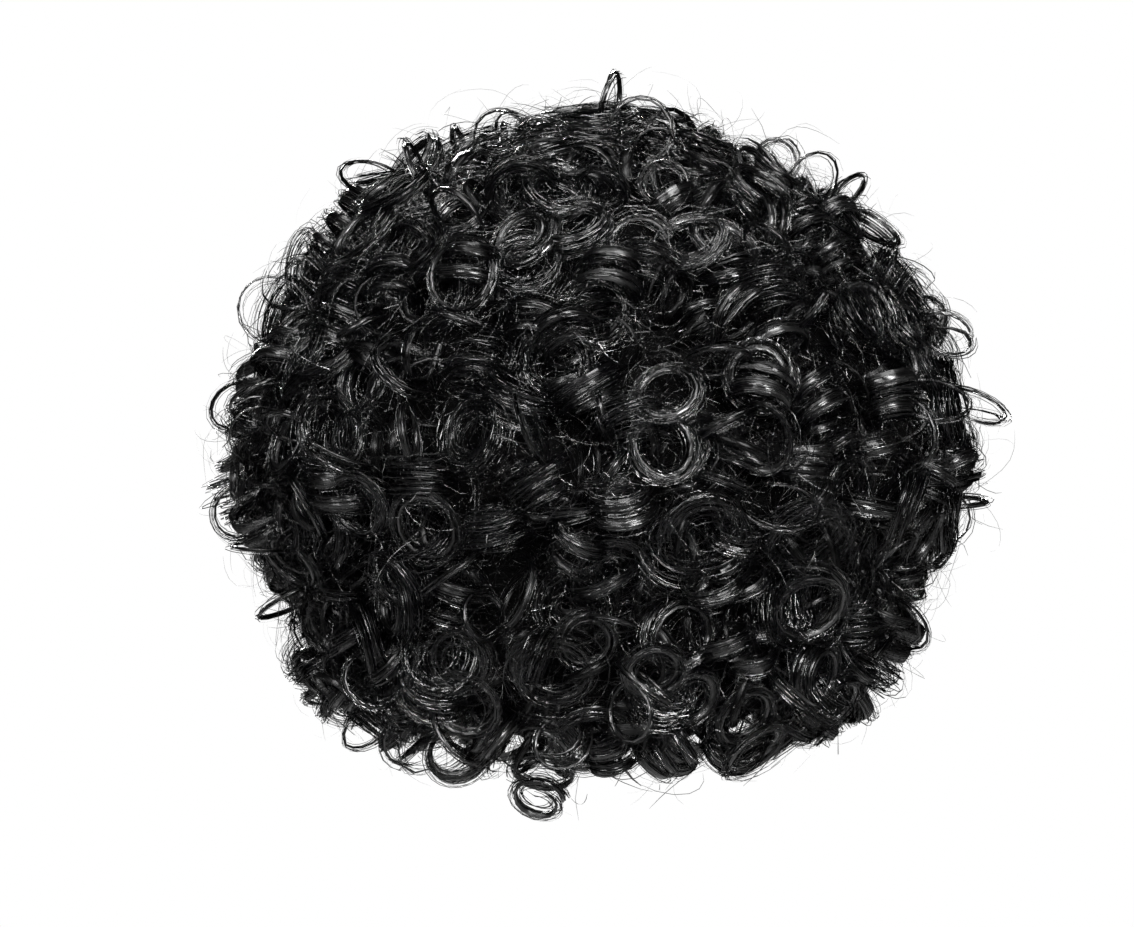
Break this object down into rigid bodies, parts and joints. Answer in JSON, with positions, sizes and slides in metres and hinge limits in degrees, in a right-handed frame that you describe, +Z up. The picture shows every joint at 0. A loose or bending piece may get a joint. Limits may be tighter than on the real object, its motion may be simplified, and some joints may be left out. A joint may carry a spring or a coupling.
{
  "type": "curly wig",
  "caption": "Large rounded wig of tight ringlet curls on a net cap, open at the face and the neck, in the shape it takes when worn.",
  "frame": {"origin": "where the crown of the wearer's head meets the inside of the cap", "axes": "+Z up, -Y towards the wearer's face, +X towards the wearer's left"},
  "size_m": [0.373, 0.3439, 0.3357],
  "materials": {
    "hair": "black synthetic hair fibre with a soft gloss",
    "net": "matt black stretch net"
  },
  "bodies": {
    "root": {"cap": "net", "crown_curls": "hair", "fringe_curls": "hair", "left_curls": "hair", "right_curls": "hair", "back_curls": "hair", "nape_curls": "hair"}
  },
  "joints": []
}
